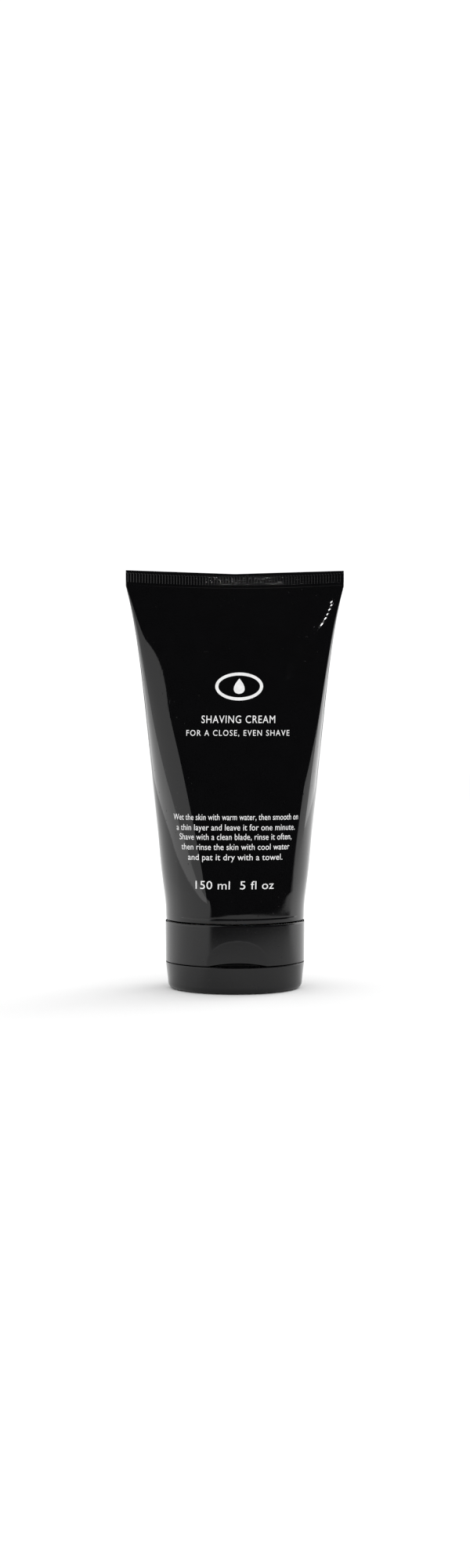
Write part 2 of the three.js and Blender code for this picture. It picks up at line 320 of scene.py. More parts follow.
class Finish:
    """A node material made from one Principled shader."""

    def __init__(self, name, **uniform):
        self.material = bpy.data.materials.new(name)
        self.material.use_nodes = True
        self.nodes = self.material.node_tree.nodes
        self.links = self.material.node_tree.links
        self.shader = self.nodes["Principled BSDF"]
        for socket, value in uniform.items():
            self.shader.inputs[socket.replace("_", " ")].default_value = value
        self.place = self.make("ShaderNodeTexCoord", {}, {}, "Object")

    def make(self, kind, settings, values, output=0):
        node = self.nodes.new(kind)
        for name, value in settings.items():
            setattr(node, name, value)
        for key, value in values.items():
            self.feed(node.inputs[key], value)
        return Signal(self, node.outputs[output])

    def feed(self, socket, value):
        if isinstance(value, Signal):
            self.links.new(value.socket, socket)
        else:
            socket.default_value = value

    def drive(self, socket, value):
        self.feed(self.shader.inputs[socket], value)

    def stretched(self, scale, turn=(0.0, 0.0, 0.0)):
        """The object's coordinates, scaled per axis."""
        return self.make("ShaderNodeMapping", {}, {"Vector": self.place, "Scale": scale, "Rotation": turn})

    def split(self, vector):
        """A vector's X, Y and Z."""
        x = self.make("ShaderNodeSeparateXYZ", {}, {0: vector})
        return [Signal(self, x.socket.node.outputs[k]) for k in range(3)]

    def greatest(self, first, second):
        return self.make("ShaderNodeMath", {"operation": "MAXIMUM"}, {0: first, 1: second})

    def noise(self, scale, detail=2.0, roughness=0.5, place=None):
        values = {"Vector": place or self.place, "Scale": scale, "Detail": detail, "Roughness": roughness}
        return self.make("ShaderNodeTexNoise", {}, values)

    def mixed(self, share, first, second):
        """A colour between two."""
        node = self.nodes.new("ShaderNodeMix")
        node.data_type = "RGBA"
        self.feed(node.inputs["Factor"], share)
        colours = [s for s in node.inputs if s.type == "RGBA"]
        self.feed(colours[0], first)
        self.feed(colours[1], second)
        return Signal(self, next(s for s in node.outputs if s.type == "RGBA"))

    def bumped(self, *layers):
        """Chains bumps of (height, depth in metres) into the shader's normal."""
        normal = None
        for height, depth in layers:
            values = {"Height": height, "Distance": depth, "Strength": 1.0}
            if normal:
                values["Normal"] = normal
            normal = self.make("ShaderNodeBump", {}, values)
        self.drive("Normal", normal)


def opaque(colour):
    return (*colour, 1.0)


def gloss_film(colour):
    """The sleeve's polished black film: slow waves, fine orange peel and faint handling marks."""
    finish = Finish("sleeve_gloss", Roughness=0.05, IOR=1.5)
    finish.shader.inputs["Specular IOR Level"].default_value = 0.5
    mottle = finish.noise(140.0, 3.0)
    lighter = tuple(c * 1.5 for c in colour)
    finish.drive("Base Color", finish.mixed(mottle, opaque(colour), opaque(lighter)))
    smears = finish.noise(45.0, 4.0, 0.6, finish.stretched((1.0, 1.0, 0.35))).above(0.5, 0.75)
    scratch_place = finish.stretched((1.0, 1.0, 0.03), (0.0, 0.35, 0.2))
    scratches = finish.noise(1800.0, 1.0, 0.4, scratch_place).above(0.70, 0.78)
    specks = finish.noise(900.0, 0.0).above(0.80, 0.84)
    finish.drive("Roughness", 0.035 + smears * 0.03 + scratches * 0.05 + specks * 0.25)
    waves = finish.noise(38.0, 1.0, 0.4)
    peel = finish.noise(1100.0, 1.0)
    finish.bumped((waves, 0.00006), (peel, 0.0000012), (scratches, 0.0000015))
    return finish.material


def moulded_black(colour):
    """The cap's semi-gloss moulded plastic, with the fine grain of its tool."""
    finish = Finish("cap_moulding", Roughness=0.22, IOR=1.49)
    cloud = finish.noise(60.0, 3.0)
    lighter = tuple(c * 1.45 for c in colour)
    finish.drive("Base Color", finish.mixed(cloud, opaque(colour), opaque(lighter)))
    grain = finish.noise(3200.0, 2.0, 0.6)
    rubs = finish.noise(70.0, 4.0, 0.65, finish.stretched((1.0, 1.0, 0.5))).above(0.48, 0.8)
    specks = finish.noise(1300.0, 0.0).above(0.80, 0.85)
    finish.drive("Roughness", 0.12 + grain * 0.04 + rubs * 0.05 + specks * 0.2)
    flow = finish.noise(30.0, 1.0, 0.3)
    finish.bumped((flow, 0.00003), (grain, 0.0000035))
    return finish.material


def printed_ink(colour):
    """Screen-printed ink: matt, and a little thinner in places."""
    finish = Finish("printed_ink", Roughness=0.42, IOR=1.45)
    thin = finish.noise(700.0, 3.0, 0.7).above(0.35, 0.75)
    greyer = tuple(c * 0.86 for c in colour)
    finish.drive("Base Color", finish.mixed(thin, opaque(colour), opaque(greyer)))
    finish.drive("Roughness", 0.36 + thin * 0.12)
    finish.bumped((finish.noise(2500.0, 2.0), 0.000004))
    return finish.material


def natural_plastic(colour):
    """The head's uncoloured plastic."""
    finish = Finish("natural_plastic", Roughness=0.45, IOR=1.5, Subsurface_Weight=0.2)
    finish.shader.inputs["Subsurface Radius"].default_value = (0.002, 0.0018, 0.0015)
    cloud = finish.noise(90.0, 3.0)
    darker = tuple(c * 0.93 for c in colour)
    finish.drive("Base Color", finish.mixed(cloud, opaque(colour), opaque(darker)))
    finish.drive("Roughness", 0.4 + finish.noise(1500.0, 2.0) * 0.1)
    finish.bumped((finish.noise(2200.0, 2.0), 0.000004))
    return finish.material


def shaving_cream(colour):
    """The soft white cream inside."""
    finish = Finish("shaving_cream", Roughness=0.38, IOR=1.4, Subsurface_Weight=0.35)
    finish.shader.inputs["Subsurface Radius"].default_value = (0.004, 0.003, 0.002)
    fold = finish.noise(110.0, 4.0, 0.6)
    darker = tuple(c * 0.95 for c in colour)
    finish.drive("Base Color", finish.mixed(fold, opaque(colour), opaque(darker)))
    finish.drive("Roughness", 0.32 + fold * 0.15)
    finish.bumped((fold, 0.0004), (finish.noise(900.0, 2.0), 0.00002))
    return finish.material


def pale_floor_painted_pool(colour):
    """A floor the camera sees evenly pale, and gloss sees with painted light: a painted pool of light round the
    tube, painted light towards the white card and behind it, and near-black painted shade elsewhere.
    """
    finish = Finish("pale_floor_painted_pool", Roughness=0.9, Specular_IOR_Level=0.0)
    cloud = finish.noise(6.0, 3.0)
    darker = tuple(c * 0.985 for c in colour)
    near = finish.mixed(cloud, opaque(colour), opaque(darker))
    x, y, _ = finish.split(finish.place)
    across = x - PAINTED_POOL_CENTRE[0]
    along = y - PAINTED_POOL_CENTRE[1]
    away = (across * across + along * along) ** 0.5
    # Painted pool of light round the tube, seen only in reflections
    painted_pool_mask = away.above(PAINTED_POOL_RADIUS + 0.008, PAINTED_POOL_RADIUS - 0.008)
    # Painted light on the left card's side of the floor; that card lights no floor itself
    painted_card_mask = (x - PAINTED_CARD_SIDE * y).above(0.012, -0.012)
    painted_behind_mask = y.above(0.0, 0.05)
    painted_light_mask = finish.greatest(finish.greatest(painted_pool_mask, painted_card_mask), painted_behind_mask)
    # Painted shade levels: dimmer in the pool, brighter towards the card, full behind
    dim, mid, full = (opaque([c * k for c in colour]) for k in (PAINTED_POOL_SHADE, PAINTED_CARD_SHADE, 1.0))
    shade = finish.mixed(painted_behind_mask, finish.mixed(painted_card_mask, dim, mid), full)
    # Painted reflection: the painted light, with near-black painted shade outside it
    painted_reflection = finish.mixed(painted_light_mask, opaque((0.01, 0.01, 0.011)), shade)
    glossy = finish.make("ShaderNodeLightPath", {}, {}, "Is Glossy Ray")
    # Glossy rays see the painted reflection, the camera sees the plain pale floor
    finish.drive("Base Color", finish.mixed(glossy, near, painted_reflection))
    return finish.material


# ---- What a user would change ----


class TubeSizes(bpy.types.PropertyGroup):
    rib_count: bpy.props.IntProperty(
        name="Seal ribs",
        description="How many ribs are pressed across each face of the tail seal",
        default=76,
        min=20,
        max=120,
    )
    rib_depth: bpy.props.FloatProperty(
        name="Rib depth",
        description="How deep the ribs are pressed into the tail seal",
        default=0.00032,
        min=0.0,
        max=0.0004,
        unit="LENGTH",
    )
    foot_step: bpy.props.FloatProperty(
        name="Foot step",
        description="How far the sleeve steps out where it is welded to the head",
        default=0.0001,
        min=0.0,
        max=0.0001,
        unit="LENGTH",
    )
    ink_height: bpy.props.FloatProperty(
        name="Ink height",
        description="How far the print stands out from the sleeve",
        default=0.00003,
        min=0.00001,
        max=0.0001,
        unit="LENGTH",
    )
    scoop_width: bpy.props.FloatProperty(
        name="Nail gap width",
        description="Width of the gap under the thumb scoop",
        default=0.0214,
        min=0.01,
        max=0.03,
        unit="LENGTH",
    )


class TubeColours(bpy.types.PropertyGroup):
    film: bpy.props.FloatVectorProperty(
        name="Film",
        description="Colour of the sleeve",
        default=(0.0021, 0.0021, 0.0023),
        min=0.0,
        max=1.0,
        size=3,
        subtype="COLOR",
    )
    cap: bpy.props.FloatVectorProperty(
        name="Cap",
        description="Colour of the cap and its lid",
        default=(0.0032, 0.0032, 0.0035),
        min=0.0,
        max=1.0,
        size=3,
        subtype="COLOR",
    )
    ink: bpy.props.FloatVectorProperty(
        name="Ink",
        description="Colour of the print",
        default=(0.86, 0.86, 0.86),
        min=0.0,
        max=1.0,
        size=3,
        subtype="COLOR",
    )
    head: bpy.props.FloatVectorProperty(
        name="Head",
        description="Colour of the shoulder and neck inside the cap",
        default=(0.78, 0.77, 0.73),
        min=0.0,
        max=1.0,
        size=3,
        subtype="COLOR",
    )
    cream: bpy.props.FloatVectorProperty(
        name="Cream",
        description="Colour of the shaving cream",
        default=(0.91, 0.89, 0.84),
        min=0.0,
        max=1.0,
        size=3,
        subtype="COLOR",
    )
    floor: bpy.props.FloatVectorProperty(
        name="Floor",
        description="Colour of the floor",
        default=(0.93, 0.93, 0.93),
        min=0.0,
        max=1.0,
        size=3,
        subtype="COLOR",
    )


FINISHES = {}


def finish_of(make, colour):
    """A material that several pieces share, made when it is first asked for."""
    if make not in FINISHES:
        FINISHES[make] = make(colour)
    return FINISHES[make]


# ---- The tube ----

RIBS_FROM = 145.75
RIBS_TO = 149.2
COLUMNS_PER_RIB = 4


WELD_LINE = 26.6
SWELL_TOP = 28.9
SWELL_FADE = 16.0
WELD_REACH = 60.0


def weld_relief(turn, z, depth):
    """How far the foot of the sleeve stands out: the swell over the head, and the weld's line at the front."""
    side = math.sin(turn) ** 2
    top = SWELL_TOP + 13 * side
    full = depth * (0.85 + 1.1 * side)
    if z < WELD_LINE:
        swell = depth * ((blend_in(z, SLEEVE_FOOT, WELD_LINE) - 1) * 0.7 - 0.8)
    elif z < top:
        swell = -0.8 * depth + (full + 0.8 * depth) * (z - WELD_LINE) / (top - WELD_LINE)
    else:
        swell = full * (1 - blend_in(z, top, top + SWELL_FADE))
    line = 0.9 * depth * math.exp(-(((z - WELD_LINE) / 0.16) ** 2)) * blend_in(math.cos(turn - 0.08), 0.45, 0.8)
    return swell - line


def seal_relief(x, z, ribs):
    """How deep, 0 to 1, the seal is pressed in at a point of its face."""
    pitch = 2 * half_width(SLEEVE_TOP) / ribs
    across = 0.5 - 0.5 * math.cos(math.tau * x / pitch)
    up = 0.93 + 0.07 * math.cos(math.tau * (z - RIBS_FROM) / 1.15)
    zone = blend_in(z, RIBS_FROM, RIBS_FROM + 0.3) * blend_in(z, RIBS_TO, RIBS_TO - 0.3)
    groove = 0.55 * math.exp(-(((z - RIBS_FROM + 0.2) / 0.12) ** 2))
    fold = 0.5 * math.exp(-(((z - SEAL_FOOT - 0.35) / 0.16) ** 2))
    return max(across * up * zone, groove, fold)


class TUBE_OT_sleeve(bpy.types.Operator):
    """Build the gloss sleeve with its ribbed tail seal"""

    bl_idname = "tube.sleeve"
    bl_label = "Sleeve"

    def execute(self, context):
        sizes = context.scene.tube_sizes
        colours = context.scene.tube_colours
        bore = SLEEVE_R - SLEEVE_WALL
        inner = [ROUND_UP_TO] + stations(ROUND_UP_TO, CAVITY_TOP, 16)
        foot = [25.15, 25.6, 26.0, 26.3, 26.45, 26.6, 26.75, 26.9, 27.05, 27.3, 27.8]
        rise = [28.3 + 0.6 * k for k in range(20)] + stations(39.7, SEAL_FOOT, 48, 1.3)
        seal = [SEAL_FOOT + 0.15 * k for k in range(1, 36)]
        profile = [(0.0, CAVITY_TOP)]
        profile += [(bore, z) for z in reversed(inner)]
        profile += [(bore, SLEEVE_FOOT), (SLEEVE_R - 0.2, SLEEVE_FOOT), (SLEEVE_R - 0.06, SLEEVE_FOOT + 0.1)]
        profile += [(SLEEVE_R, z) for z in foot + rise + seal]
        profile += [(SLEEVE_R, 149.85), (SLEEVE_R - 0.05, 149.96), (SLEEVE_R - 0.2, SLEEVE_TOP)]
        profile += [(0.0, SLEEVE_TOP)]
        bm = turned(profile, 2 * sizes.rib_count * COLUMNS_PER_RIB, closed=False)
        depth = sizes.rib_depth / MM
        step = sizes.foot_step / MM

        def formed(x, y, z):
            radius = math.hypot(x, y)
            if radius < 1e-6:
                return flattened(x, y, z)
            outside = radius > SLEEVE_R - 0.1
            if outside and z < WELD_REACH:
                grown = 1 + weld_relief(math.atan2(x, -y), z, step) / SLEEVE_R
                across, out, height = flattened(x, y, z)
                return across * grown, out * grown, height
            across, out, height = flattened(x, y, z)
            if outside and z > SEAL_FOOT:
                out -= math.copysign(depth * seal_relief(across, z, sizes.rib_count), y)
            return across, out, height

        reshaped(bm, formed)
        bmesh.ops.recalc_face_normals(bm, faces=bm.faces)
        film = finish_of(gloss_film, colours.film)
        piece(bm, "sleeve_film", film, "tube", ["tube_sleeve"])
        return {"FINISHED"}


class TUBE_OT_contents(bpy.types.Operator):
    """Build the head that is welded into the sleeve, and the cream that fills it"""

    bl_idname = "tube.contents"
    bl_label = "Head and cream"

    def execute(self, context):
        colours = context.scene.tube_colours
        head = softened(
            [
                (8.2, 14.2, 0.3),
                (10.5, 14.2, 0.6),
                (10.5, 16.0, 0.2),
                (11.0, 16.6, 0.3),
                (10.5, 17.6, 0.2),
                (10.5, 21.4, 0.4),
                (11.9, 22.2, 0.6),
                (23.0, 25.2, 0.3),
                (24.2, 25.2, 0.3),
                (24.2, 27.0, 0.3),
                (23.4, 27.0, 0.3),
                (11.1, 23.7, 0.8),
                (8.2, 23.3, 0.5),
            ]
        )
        plastic = finish_of(natural_plastic, colours.head)
        piece(turned(head, 128), "shoulder_and_neck", plastic, "tube", ["tube_head"])

        side = SLEEVE_R - SLEEVE_WALL - 0.6
        fill = softened(
            [
                (0.0, 17.5, 0),
                (7.9, 17.5, 0.5),
                (7.9, 24.0, 0.8),
                (21.9, 27.6, 0.6),
                (side, 28.6, 0.4),
            ]
        )
        fill += [Vector((side, z)) for z in stations(29.5, 121.4, 40)]
        fill += [Vector((side - 0.25, 121.9)), Vector((0.0, 122.0))]
        bm = turned(fill, 160, closed=False)
        reshaped(bm, flattened)
        bmesh.ops.recalc_face_normals(bm, faces=bm.faces)
        cream = finish_of(shaving_cream, colours.cream)
        piece(bm, "cream_fill", cream, "tube", ["shaving_cream"])
        return {"FINISHED"}


# ---- Print ----

LINES = (
    # text, height of the line's foot, width, capital height, letter spacing, boldness, name
    ("SHAVING CREAM", 95.2, 26.2, 2.8, 1.12, 0.0, "print_title"),
    ("FOR A CLOSE, EVEN SHAVE", 90.7, 36.8, 2.15, 1.22, 0.0, "print_subtitle"),
    ("Wet the skin with warm water, then smooth on", 61.1, 46.5, 2.25, 1.03, 0.004, "print_use_1"),
    ("a thin layer and leave it for one minute.", 57.5, 44.0, 2.25, 1.03, 0.004, "print_use_2"),
    ("Shave with a clean blade, rinse it often,", 54.2, 41.5, 2.25, 1.03, 0.004, "print_use_3"),
    ("then rinse the skin with cool water", 50.7, 40.0, 2.25, 1.03, 0.004, "print_use_4"),
    ("and pat it dry with a towel.", 47.1, 34.5, 2.25, 1.03, 0.004, "print_use_5"),
    ("150 ml  5 fl oz", 37.0, 28.4, 3.0, 1.05, 0.0, "print_volume"),
)
PRINT_SHIFT_AT = 74.0  # the print's middle line crosses the tube's at this height
PRINT_LEAN = 0.03


def outline_lengths(z):
    """Angles from the front and the distances round the sleeve that go with them."""
    angles = np.linspace(0.0, 1.45, 60)
    places = np.array([section(-math.pi / 2 + a, z) for a in angles])
    gaps = np.hypot(*np.diff(places, axis=0).T)
    return angles, np.concatenate([[0.0], np.cumsum(gaps)])


class Wrapper:
    """Lays flat print round the front of the sleeve."""

    def __init__(self, proud, step):
        self.proud = proud
        self.step = step
        self.tables = {}

    def lay(self, across, z):
        across += PRINT_LEAN * (z - PRINT_SHIFT_AT)
        level = round(z * 4) / 4
        if level not in self.tables:
            self.tables[level] = outline_lengths(level)
        angles, lengths = self.tables[level]
        turn = math.copysign(np.interp(abs(across), lengths, angles), across)
        angle = -math.pi / 2 + turn
        x, y = section(angle, z)
        beside = section(angle + 0.002, z)
        above = section(angle, z + 0.2)
        along = Vector((beside[0] - x, beside[1] - y, 0))
        up = Vector((above[0] - x, above[1] - y, 0.2))
        out = along.cross(up).normalized()
        grown = 1 + weld_relief(turn, z, self.step) / SLEEVE_R if z < WELD_REACH else 1
        return Vector((x * grown, y * grown, z - seal_dip(x, z))) + out * self.proud


def sliced(bm, spacing):
    """Cuts flat print into small cells so that it can bend."""
    low = [min(v.co[k] for v in bm.verts) for k in (0, 1)]
    high = [max(v.co[k] for v in bm.verts) for k in (0, 1)]
    for axis in (0, 1):
        normal = Vector((1, 0, 0)) if axis == 0 else Vector((0, 1, 0))
        for k in range(1, math.ceil((high[axis] - low[axis]) / spacing)):
            place = normal * (low[axis] + k * spacing)
            geom = bm.verts[:] + bm.edges[:] + bm.faces[:]
            bmesh.ops.bisect_plane(bm, geom=geom, dist=1e-7, plane_co=place, plane_no=normal)


def wrapped_print(bm, name, wrapper, ink):
    """Bends flat print, drawn in millimetres on X and Y, round the sleeve as a thin film."""
    bmesh.ops.remove_doubles(bm, verts=bm.verts, dist=0.004)
    sliced(bm, 1.0)
    bmesh.ops.recalc_face_normals(bm, faces=bm.faces)
    if sum(f.normal.z * f.calc_area() for f in bm.faces) < 0:
        bmesh.ops.reverse_faces(bm, faces=bm.faces)
    for vert in bm.verts:
        vert.co = wrapper.lay(vert.co.x, vert.co.y) * MM
    bm.normal_update()
    top = bm.faces[:]
    made = bmesh.ops.extrude_face_region(bm, geom=top)
    lifted = [g for g in made["geom"] if isinstance(g, bmesh.types.BMVert)]
    bm.normal_update()
    for vert in lifted:
        flat = Vector((vert.co.x, vert.co.y, 0)).normalized()
        vert.co += flat * 0.02 * MM
    bmesh.ops.recalc_face_normals(bm, faces=bm.faces)
    return piece(bm, name, ink, "tube", smooth=False)


def written(text, width, height, foot, spacing, bold):
    """A line of lettering as a flat bmesh centred on X, with its foot at a height."""
    curve = bpy.data.curves.new("lettering", "FONT")
    curve.body = text
    curve.align_x = "CENTER"
    curve.size = 1.0
    curve.space_character = spacing
    curve.offset = bold
    curve.resolution_u = 4
    holder = bpy.data.objects.new("lettering", curve)
    bpy.context.scene.collection.objects.link(holder)
    bpy.context.view_layer.update()
    mesh = bpy.data.meshes.new_from_object(holder.evaluated_get(bpy.context.evaluated_depsgraph_get()))
    bpy.data.objects.remove(holder)
    bpy.data.curves.remove(curve)
    bm = bmesh.new()
    bm.from_mesh(mesh)
    bpy.data.meshes.remove(mesh)
    low = min(v.co.x for v in bm.verts)
    high = max(v.co.x for v in bm.verts)
    capital = 0.729  # how high a capital stands in lettering of size 1
    for vert in bm.verts:
        x = (vert.co.x - (low + high) / 2) * width / (high - low)
        vert.co = Vector((x, foot + vert.co.y * height / capital, 0))
    return bm


def ring(bm, across, high, thickness, centre):
    """A flat oval ring."""
    edges = []
    for inset in (0.0, thickness):
        made = bmesh.ops.create_circle(bm, cap_ends=False, segments=120, radius=1.0)["verts"]
        for vert in made:
            x = centre[0] + vert.co.x * (across / 2 - inset)
            vert.co = Vector((x, centre[1] + vert.co.y * (high / 2 - inset), 0))
        edges += list({edge for vert in made for edge in vert.link_edges})
    bmesh.ops.bridge_loops(bm, edges=edges)


def drop(bm, width, high, centre):
    """A flat drop with its point up."""
    made = bmesh.ops.create_circle(bm, cap_ends=True, segments=64, radius=1.0)
    for vert in made["verts"]:
        x, y = vert.co.x, vert.co.y
        share = (y + 1) / 2
        x *= (1 - share) ** 0.55 * 1.28 if y > -1 else 1
        vert.co = Vector((centre[0] + x * width / 2, centre[1] + y * high / 2, 0))


class TUBE_OT_print(bpy.types.Operator):
    """Print the plain emblem and the lines of lettering on the front"""

    bl_idname = "tube.print"
    bl_label = "Print"

    def execute(self, context):
        ink = finish_of(printed_ink, context.scene.tube_colours.ink)
        sizes = context.scene.tube_sizes
        wrapper = Wrapper(sizes.ink_height / MM, sizes.foot_step / MM)
        for text, foot, width, height, spacing, bold, name in LINES:
            wrapped_print(written(text, width, height, foot, spacing, bold), name, wrapper, ink)
        bm = bmesh.new()
        ring(bm, 17.0, 10.2, 1.1, (0.0, 108.3))
        drop(bm, 4.0, 5.6, (0.0, 108.4))
        wrapped_print(bm, "print_emblem", wrapper, ink)
        return {"FINISHED"}


# ---- The cap ----


def on_hinge_flat(x, y, z):
    """Presses the back of the cap to the flat that the hinge lies on."""
    if z < HINGE_FLAT_TOP:
        y = min(y, HINGE_FLAT_Y)
    return x, y, z


ARCH_HEIGHT = 1.05


def scoop_floor(x, z, wall=0.0):
    """How far forward the thumb scoop's floor is, or None outside it."""
    wide, deep, high = 28.6 + wall, 6.9 + wall, 10.8 + wall
    share = 1 - (x / wide) ** 2 - ((z - BASE_FOOT) / high) ** 2
    if share <= 0:
        return None
    return -29.0 + deep * math.sqrt(share)


class TUBE_OT_cap_base(bpy.types.Operator):
    """Build the cap's base: skirt with its thumb scoop, deck, snap collar and spout"""

    bl_idname = "tube.cap_base"
    bl_label = "Cap base"

    def execute(self, context):
        half_gap = context.scene.tube_sizes.scoop_width / MM / 2
        corners = [
            (3.25, 7.0, 0.3),
            (4.9, 7.0, 0.5),
            (5.9, 10.7, 0.4),
            (6.5, 11.3, 0.5),
            (21.4, 11.3, 0.5),
            (21.4, 8.3, 0.25),
            (RIM_R, 8.3, 0.35),
            (RIM_R, 9.38, 0),
            (RIM_R, 9.4, 0),
            (RIM_R, BASE_FOOT, 0),
            (SEAM_R, BASE_FOOT, 0.22),
            (CAP_TOP_R, BASE_TOP, 0.45),
            (23.7, BASE_TOP, 0.2),
            (23.7, 12.9, 0.5),
            (12.6, 12.9, 0.5),
            (12.6, 20.5, 0.2),
            (10.8, 20.5, 0.5),
            (10.8, 18.0, 0.2),
            (11.3, 17.0, 0.2),
            (11.3, 16.2, 0.2),
            (10.8, 15.4, 0.2),
            (10.8, 12.9, 0.3),
            (7.9, 12.9, 0.3),
            (7.9, 16.5, 0.4),
            (6.9, 16.5, 0.2),
            (6.9, 12.9, 0.3),
            (3.25, 12.9, 0.3),
        ]

        def on_skirt(here, after):
            return here.x > 23.6 and after.x > 23.6 and abs(here.y - after.y) > 1

        profile = divided(softened(corners, 3), 0.3, on_skirt)
        bm = turned(profile, 400)

        def gathered(x, y, z):
            """Brings the columns closer together at the front."""
            angle = math.atan2(x, -y)
            angle -= 0.45 * math.sin(angle)
            radius = math.hypot(x, y)
            return radius * math.sin(angle), -radius * math.cos(angle), z

        def formed(x, y, z):
            radius = math.hypot(x, y)
            if y > 0:
                return on_hinge_flat(x, y, z) if radius > 22 else (x, y, z)
            arch = ARCH_HEIGHT * max(0.0, 1 - (x / half_gap) ** 2)
            inside_gap = abs(x) < half_gap
            skirt = radius > 24.2
            if skirt and z < 12.0:
                z += arch * blend_in(z, 12.0, BASE_FOOT)
            if skirt:
                floor = scoop_floor(x, z)
                return (x, max(y, floor), z) if floor else (x, y, z)
            if radius > 21.8 and z > 12.5:
                floor = scoop_floor(x, z, 1.2)
                return (x, max(y, floor), z) if floor else (x, y, z)
            if abs(radius - RIM_R) < 0.02 and inside_gap and z > 9.39:
                if z > BASE_FOOT - 0.01:
                    z += arch
                return x, max(y, -21.2), z
            if 21.0 < radius < 21.7:
                return x, max(y, -20.1), z
            return x, y, z

        reshaped(bm, gathered)
        reshaped(bm, formed)
        for k in range(8):
            angle = (k + 0.5) * math.tau / 8
            rib = bmesh.ops.create_cube(bm, size=1.0)["verts"]
            for vert in rib:
                along = 18.2 + vert.co.x * 11.8
                side = vert.co.y
                height = 15.25 + vert.co.z * 5.5
                x = along * math.cos(angle) - side * math.sin(angle)
                y = along * math.sin(angle) + side * math.cos(angle)
                vert.co = Vector((x, y, height)) * MM
        bmesh.ops.recalc_face_normals(bm, faces=bm.faces)
        plastic = finish_of(moulded_black, context.scene.tube_colours.cap)
        piece(bm, "cap_base_moulding", plastic, "tube", ["cap_base"])
        return {"FINISHED"}


class TUBE_OT_flip_lid(bpy.types.Operator):
    """Build the flip lid with its plug pin and guard ring"""

    bl_idname = "tube.flip_lid"
    bl_label = "Flip lid"

    def execute(self, context):
        corners = [
            (0.0, 0.0, 0),
            (22.9, 0.0, 0.5),
            (23.75, 0.55, 0.7),
            (24.15, 1.6, 0.6),
            (24.25, 3.0, 0.8),
            (SEAM_R, 9.0, 0.3),
            (SEAM_R - 0.02, 9.45, 0.32),
            (22.9, 9.45, 0.3),
            (22.9, 2.4, 0.4),
            (21.9, 1.4, 0.6),
            (7.8, 1.4, 0.4),
            (7.8, 5.5, 0.3),
            (6.8, 5.5, 0.3),
            (6.8, 1.4, 0.4),
            (2.95, 1.4, 0.5),
            (2.95, 8.7, 0.7),
            (1.9, 8.7, 0.2),
            (1.9, 2.2, 0.4),
            (0.0, 2.2, 0),
        ]

        def on_wall(here, after):
            return here.x > 24.0 and after.x > 24.0 and abs(here.y - after.y) > 1

        bm = turned(divided(softened(corners, 5), 0.35, on_wall), 320, closed=False)

        def formed(x, y, z):
            if math.hypot(x, y) > 23.5:
                return on_hinge_flat(x, y, z)
            return x, y, z

        reshaped(bm, formed)
        bmesh.ops.recalc_face_normals(bm, faces=bm.faces)
        plastic = finish_of(moulded_black, context.scene.tube_colours.cap)
        piece(bm, "flip_lid_moulding", plastic, "lid", ["flip_lid"])
        return {"FINISHED"}


class TUBE_OT_hinge(bpy.types.Operator):
    """Build the one-piece hinge: a spring strap between two thin films"""

    bl_idname = "tube.hinge"
    bl_label = "Hinge"

    def execute(self, context):
        plastic = finish_of(moulded_black, context.scene.tube_colours.cap)
        for name, node in (
            ("strap_strip", "hinge_strap"),
            ("film_strip_left", "hinge_film_left"),
            ("film_strip_right", "hinge_film_right"),
        ):
            low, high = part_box(node)
            bm = bmesh.new()
            bmesh.ops.create_cube(bm, size=1.0)
            middle = (Vector(low) + Vector(high)) / 2
            span = Vector(high) - Vector(low)
            for vert in bm.verts:
                vert.co = Vector([middle[k] + vert.co[k] * span[k] for k in range(3)])
            upright = [e for e in bm.edges if abs(e.verts[0].co.z - e.verts[1].co.z) > span.z / 2]
            bmesh.ops.subdivide_edges(bm, edges=upright, cuts=35, use_grid_fill=True)
            pinch = 0.35 if node == "hinge_strap" else 0.55
            for vert in bm.verts:
                away = abs(vert.co.z / MM - HINGE_HEIGHT)
                thin = 1 - pinch * math.exp(-((away / 0.5) ** 2))
                vert.co.y = middle.y + (vert.co.y - middle.y) * thin
                if node == "hinge_strap":
                    waist = 1 - 0.22 * math.exp(-((away / 1.6) ** 2))
                    vert.co.x = middle.x + (vert.co.x - middle.x) * waist
            made = piece(bm, name, plastic, None, [node], smooth=False)
            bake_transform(made)
        return {"FINISHED"}


# ---- Stage ----


def aimed(name, light, place, towards, roll=0.0):
    """Hangs a light in the scene, turned towards a point and then about its own axis."""
    holder = bpy.data.objects.new(name, light)
    holder.location = place
    facing = (Vector(towards) - Vector(place)).to_track_quat("-Z", "Y")
    holder.rotation_euler = (facing @ Quaternion((0, 0, 1), math.radians(roll))).to_euler()
    holder.visible_camera = False
    bpy.context.scene.collection.objects.link(holder)
    return holder


def softbox(name, place, towards, width, height, radiance, roll=0.0):
    """A flat light that is as bright all over as radiance."""
    light = bpy.data.lights.new(name, "AREA")
    light.shape = "RECTANGLE"
    light.size = width
    light.size_y = height
    light.energy = radiance * math.pi * width * height
    return aimed(name, light, place, towards, roll)


def snooted_lamp(name, target, swing, lift, reach, radius, power, cone):
    """A small lamp in a tube, which lights a spot a few centimetres wide from a distance of reach."""
    light = bpy.data.lights.new(name, "SPOT")
    light.energy = power
    light.shadow_soft_size = radius
    light.spot_size = math.radians(cone)
    light.spot_blend = 0.6
    turn, rise = math.radians(swing), math.radians(lift)
    away = Vector((math.sin(turn) * math.cos(rise), -math.cos(turn) * math.cos(rise), math.sin(rise)))
    lamp = aimed(name, light, Vector(target) + reach * away, target)
    lamp.visible_camera = False
    return lamp


